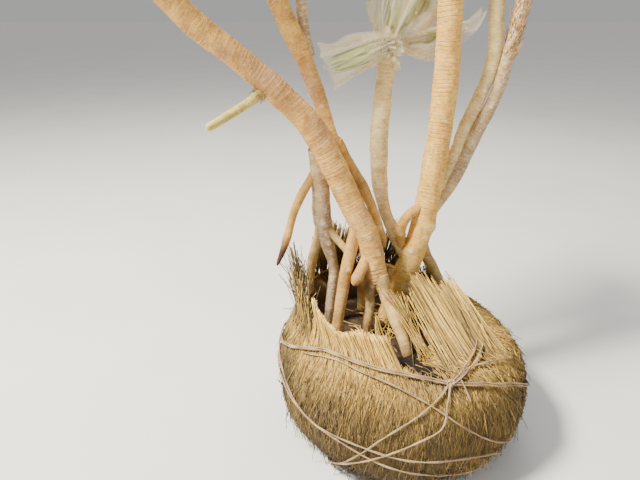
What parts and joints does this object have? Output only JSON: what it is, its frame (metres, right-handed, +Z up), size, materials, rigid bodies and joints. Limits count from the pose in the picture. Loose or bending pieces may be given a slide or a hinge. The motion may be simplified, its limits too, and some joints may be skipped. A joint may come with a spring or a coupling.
{
  "type": "sapling with root ball",
  "caption": "Multi-stemmed sapling on prop roots, standing in a straw-wrapped root ball tied with twine, its leaf heads bundled in pale netting.",
  "frame": {"origin": "centre of the root ball's flat underside", "axes": "+Z up through the stems, -Y towards the side the picture shows, +X to its right"},
  "size_m": [1.3561, 0.691, 1.8577],
  "materials": {
    "straw_ball": "matte straw",
    "straw": "matte straw",
    "twine": "matte twisted straw twine",
    "bark": "matte bark ringed with leaf scars",
    "prop_root_bark": "matte root bark",
    "netted_leaves": "pale netting over green leaves"
  },
  "bodies": {
    "root": {"bough_left_inner": "bark", "bough_left_outer": "bark", "bough_main_left": "bark", "bough_main_right": "bark", "leaves_back_left": "netted_leaves", "leaves_back_thin": "netted_leaves", "leaves_far_right": "netted_leaves", "leaves_left_inner": "netted_leaves", "leaves_left_outer": "netted_leaves", "leaves_main_left": "netted_leaves", "leaves_main_right": "netted_leaves", "leaves_middle": "netted_leaves", "leaves_middle_left": "netted_leaves", "leaves_middle_right": "netted_leaves", "leaves_right": "netted_leaves", "root_arched": "prop_root_bark", "root_back_left": "prop_root_bark", "root_back_middle": "prop_root_bark", "root_back_right": "prop_root_bark", "root_ball": "straw_ball", "root_behind_main": "prop_root_bark", "root_blunt": "prop_root_bark", "root_centre": "prop_root_bark", "root_dark_tip": "prop_root_bark", "root_front": "prop_root_bark", "root_left_of_stem": "prop_root_bark", "root_prop_left": "prop_root_bark", "root_prop_right": "prop_root_bark", "root_torn": "prop_root_bark", "root_young": "prop_root_bark", "stem_back_left": "bark", "stem_back_thin": "bark", "stem_far_right": "bark", "stem_left": "bark", "stem_main": "bark", "stem_middle": "bark", "stem_prop": "bark", "stem_right": "bark", "straw_back": "straw", "straw_front": "straw", "straw_left": "straw", "straw_right_inner": "straw", "straw_right_outer": "straw", "twine_knot": "twine", "twine_low": "twine", "twine_main_lower": "twine", "twine_main_upper": "twine", "twine_slanting": "twine"}
  },
  "joints": []
}
